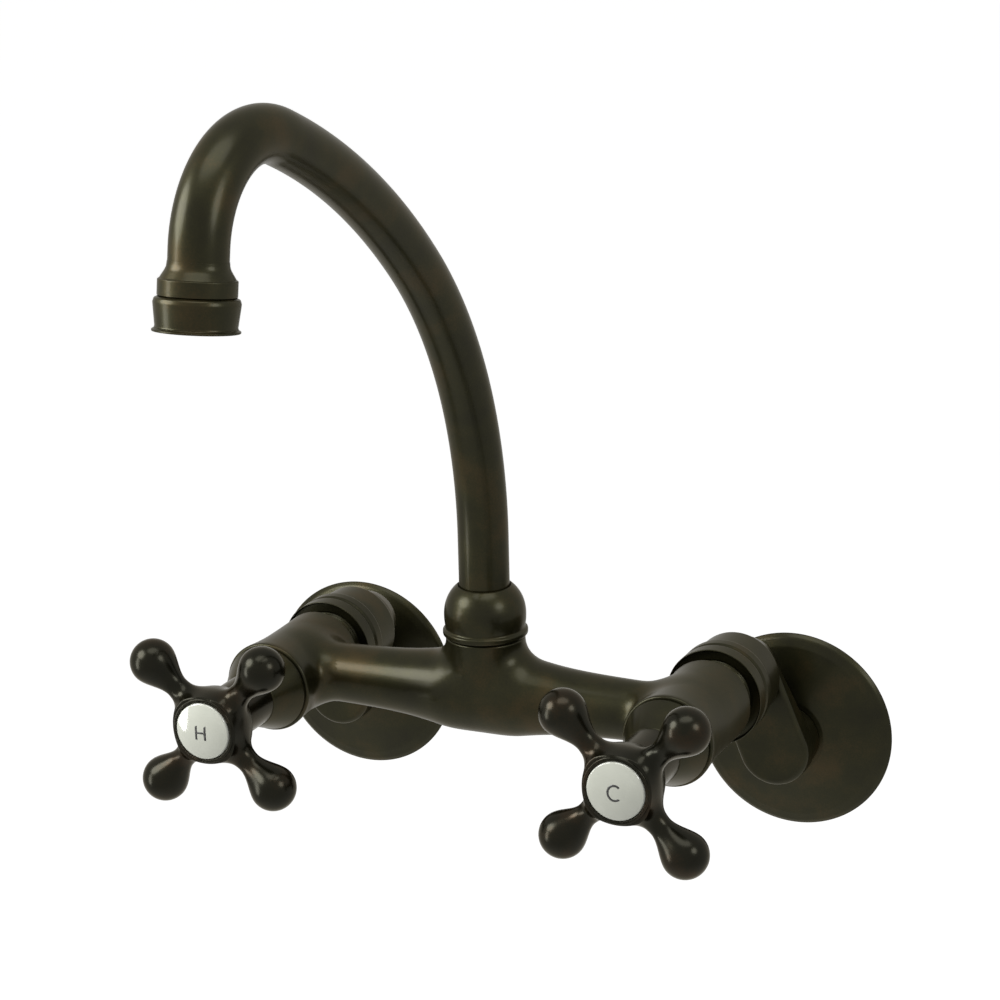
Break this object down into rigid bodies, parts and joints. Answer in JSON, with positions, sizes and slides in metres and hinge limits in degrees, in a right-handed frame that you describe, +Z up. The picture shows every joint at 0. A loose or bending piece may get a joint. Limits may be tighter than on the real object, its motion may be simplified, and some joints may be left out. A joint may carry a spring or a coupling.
{
  "type": "two handle kitchen faucet",
  "caption": "Wall-mounted bridge kitchen faucet with high arc swivel spout, cross handles with porcelain buttons and offset wall inlets.",
  "frame": {"origin": "on the wall, midway between the two wall inlets and at their height", "axes": "+Z up, +Y into the wall, +X to the cold side"},
  "size_m": [0.2504, 0.2814, 0.2948],
  "materials": {
    "bronze_satin": "satin",
    "bronze_dark": "gloss",
    "porcelain": "gloss",
    "brass": "satin",
    "rubber": "matte",
    "alumina": "satin",
    "steel": "satin",
    "plastic": "matte"
  },
  "bodies": {
    "body": {"body_casting": "bronze_satin", "spout_collar": "bronze_satin", "spout_glide_ring": "plastic", "hot_coupling_nut": "bronze_satin", "hot_coupling_washer": "rubber", "hot_valve_seat_seal": "rubber", "hot_fixed_disc": "alumina", "hot_valve_bonnet": "brass", "hot_bonnet_gasket": "rubber", "hot_valve_cover": "bronze_satin", "cold_coupling_nut": "bronze_satin", "cold_coupling_washer": "rubber", "cold_valve_seat_seal": "rubber", "cold_fixed_disc": "alumina", "cold_valve_bonnet": "brass", "cold_bonnet_gasket": "rubber", "cold_valve_cover": "bronze_satin"},
    "spout": {"spout_tube": "bronze_satin", "spout_swivel_sleeve": "brass", "spout_o_rings": "rubber", "spout_outlet_ferrule": "bronze_satin", "aerator_housing": "bronze_satin", "aerator_washer": "rubber", "aerator_screen": "steel", "aerator_insert": "plastic"},
    "hot_handle": {"hot_cross_handle": "bronze_dark", "hot_valve_stem": "brass", "hot_stem_o_rings": "rubber", "hot_moving_disc": "alumina", "hot_handle_screw": "steel", "hot_porcelain_button": "porcelain"},
    "hot_arm": {"hot_swing_arm": "bronze_satin", "hot_wall_flange": "bronze_satin"},
    "cold_handle": {"cold_cross_handle": "bronze_dark", "cold_valve_stem": "brass", "cold_stem_o_rings": "rubber", "cold_moving_disc": "alumina", "cold_handle_screw": "steel", "cold_porcelain_button": "porcelain"},
    "cold_arm": {"cold_swing_arm": "bronze_satin", "cold_wall_flange": "bronze_satin"}
  },
  "joints": [
    {"name": "spout_swivel", "type": "hinge", "parent": "body", "child": "spout", "pos_m": [0, -0.0789, 0.02967], "axis": [0, 0, 1], "range_deg": [-86.9, 93.1]},
    {"name": "hot_handle_turn", "type": "hinge", "parent": "body", "child": "hot_handle", "pos_m": [-0.0762, 0, 0.02967], "axis": [0, -1, 0], "range_deg": [0, 90]},
    {"name": "hot_arm_swing", "type": "hinge", "parent": "body", "child": "hot_arm", "pos_m": [-0.0762, 0, 0.02967], "axis": [0, 1, 0], "range_deg": [-112, 68]},
    {"name": "cold_handle_turn", "type": "hinge", "parent": "body", "child": "cold_handle", "pos_m": [0.0762, 0, 0.02967], "axis": [0, 1, 0], "range_deg": [0, 90]},
    {"name": "cold_arm_swing", "type": "hinge", "parent": "body", "child": "cold_arm", "pos_m": [0.0762, 0, 0.02967], "axis": [0, -1, 0], "range_deg": [-112, 68]}
  ]
}
